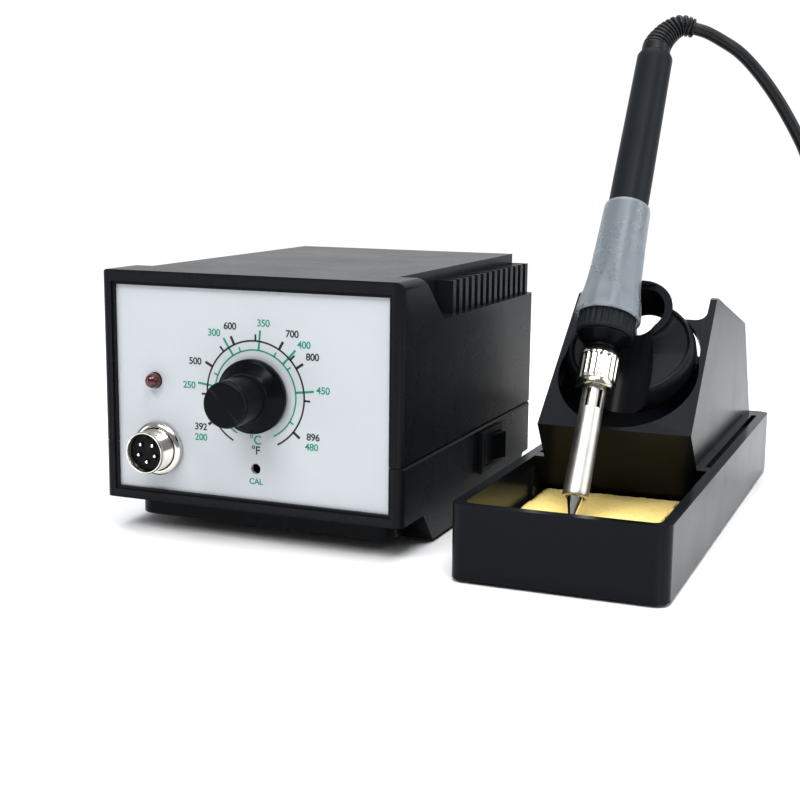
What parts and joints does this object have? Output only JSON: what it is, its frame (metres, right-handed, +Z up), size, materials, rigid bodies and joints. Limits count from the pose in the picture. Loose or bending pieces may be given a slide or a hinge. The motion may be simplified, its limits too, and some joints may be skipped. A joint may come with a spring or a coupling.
{
  "type": "soldering iron station",
  "caption": "Soldering station: power unit with a temperature dial, and a separate stand with a sponge tray that holds the corded iron.",
  "frame": {"origin": "on the bench, at the bottom centre of the box around everything but the free cord, its coil and its plug", "axes": "+Z up, -Y towards the user (the dial and the front of the stand's tray), +X from the power unit towards the stand"},
  "size_m": [0.3374, 0.2284, 0.1969],
  "materials": {
    "case_plastic": "satin black ABS with a fine moulded grain",
    "panel": "light grey plate, smooth satin",
    "led": "dark red polished lens, unlit",
    "bright_metal": "bright nickel plating",
    "steel": "zinc-plated steel",
    "black_plastic": "smooth moulded black",
    "trimmer_plastic": "blue moulding",
    "brass": "machined",
    "board": "green solder mask",
    "aluminium": "extruded, raw",
    "capacitor_sleeve": "shrunk sleeve",
    "core_steel": "stacked laminations, varnished",
    "winding_tape": "yellow insulating tape",
    "rubber": "matt black",
    "stand_plastic": "polished black moulding",
    "receptacle_plastic": "heat-resistant black moulding, smooth",
    "sponge": "dry cellulose sponge, open pores",
    "tip_metal": "iron-plated, slightly oxidised",
    "element_ceramic": "unglazed ceramic",
    "handle_plastic": "smooth satin black",
    "grip_silicone": "translucent bluish silicone",
    "cord_rubber": "smooth black, slight sheen"
  },
  "bodies": {
    "station": {"upper_shell": "case_plastic", "lower_base": "case_plastic", "front_panel": "panel", "rear_panel": "case_plastic", "led_lens": "led", "socket_shell": "bright_metal", "socket_nut": "bright_metal", "socket_insert": "black_plastic", "socket_pin_1": "bright_metal", "socket_pin_2": "bright_metal", "socket_pin_3": "bright_metal", "socket_pin_4": "bright_metal", "socket_pin_5": "bright_metal", "potentiometer_body": "steel", "potentiometer_nut": "bright_metal", "cal_trimmer": "trimmer_plastic", "circuit_board": "board", "heat_sink": "aluminium", "filter_capacitor": "capacitor_sleeve", "transformer_core": "core_steel", "transformer_bobbin": "winding_tape", "transformer_frame": "steel", "power_switch_housing": "black_plastic", "mains_inlet": "black_plastic", "fuse_holder": "black_plastic", "case_screw_1": "steel", "case_screw_2": "steel", "case_screw_3": "steel", "case_screw_4": "steel", "station_foot_1": "rubber", "station_foot_2": "rubber", "station_foot_3": "rubber", "station_foot_4": "rubber"},
    "dial": {"temperature_knob": "black_plastic", "knob_cap": "black_plastic", "potentiometer_shaft": "steel"},
    "switch": {"power_switch_rocker": "black_plastic"},
    "trimmer": {"cal_trimmer_screw": "brass"},
    "fuse_carrier": {"fuse_cap": "black_plastic"},
    "stand": {"stand_body": "stand_plastic", "iron_receptacle": "receptacle_plastic", "stand_foot_1": "rubber", "stand_foot_2": "rubber", "stand_foot_3": "rubber", "stand_foot_4": "rubber", "cord_coil": "cord_rubber", "plug_shell": "cord_rubber"},
    "sponge": {"cleaning_sponge": "sponge"},
    "iron": {"iron_tip": "tip_metal", "tip_barrel": "bright_metal", "heating_element": "element_ceramic", "barrel_nut": "bright_metal", "nipple": "black_plastic", "handle_collar": "case_plastic", "handle": "handle_plastic", "grip_sleeve": "grip_silicone", "strain_relief": "cord_rubber", "iron_cord": "cord_rubber"},
    "coupling_ring": {"plug_ring": "bright_metal"}
  },
  "joints": [
    {"name": "temperature_dial", "type": "hinge", "parent": "station", "child": "dial", "pos_m": [-0.04532, -0.1, 0.0549], "axis": [0, 1, 0], "range_deg": [-218, 82]},
    {"name": "power_switch", "type": "hinge", "parent": "station", "child": "switch", "pos_m": [0.01287, -0.00075, 0.0238], "axis": [0, 0, 1], "range_deg": [0, 16]},
    {"name": "calibration_trim", "type": "hinge", "parent": "station", "child": "trimmer", "pos_m": [-0.04512, -0.08, 0.0281], "axis": [0, 1, 0], "range_deg": [-105, 105]},
    {"name": "fuse_cap_twist", "type": "hinge", "parent": "station", "child": "fuse_carrier", "pos_m": [-0.02552, 0.055, 0.038], "axis": [0, 1, 0], "range_deg": [0, 90]},
    {"name": "stand_slide", "type": "slide", "parent": "station", "child": "stand", "axis": [1, 0, 0], "range_m": [0, 0.05]},
    {"name": "sponge_slide", "type": "slide", "parent": "stand", "child": "sponge", "axis": [0, -1, 0], "range_m": [0, 0.025]},
    {"name": "iron_lift", "type": "slide", "parent": "stand", "child": "iron", "axis": [0, 0.5432, 0.8396], "range_m": [0, 0.1]},
    {"name": "plug_ring_turn", "type": "hinge", "parent": "stand", "child": "coupling_ring", "pos_m": [0.22057, 0.1, 0.0097], "axis": [0, 1, 0], "continuous": true}
  ]
}
